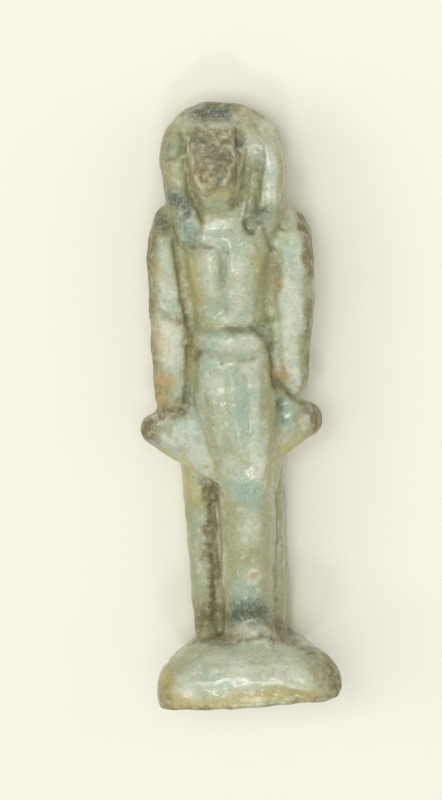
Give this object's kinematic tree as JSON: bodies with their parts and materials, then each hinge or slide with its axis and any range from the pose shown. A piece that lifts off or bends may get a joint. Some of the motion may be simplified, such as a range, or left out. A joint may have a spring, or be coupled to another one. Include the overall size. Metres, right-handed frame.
{
  "type": "deity amulet",
  "caption": "Moulded faience amulet of a striding animal-headed deity in wig and kilt, on a mound-like plinth with a back pillar, pierced behind the neck for a cord.",
  "frame": {"origin": "below the middle of the piece, on the surface that it lies on", "axes": "+Y from the plinth to the crown of the wig, +Z from the flat back up through the figure's front, +X to the viewer's right"},
  "size_m": [0.0126, 0.0394, 0.0116],
  "materials": {
    "faience_glaze": "worn pale blue-green glaze, mottled, with brown dirt in the grooves"
  },
  "bodies": {
    "root": {"amulet": "faience_glaze"}
  },
  "joints": []
}
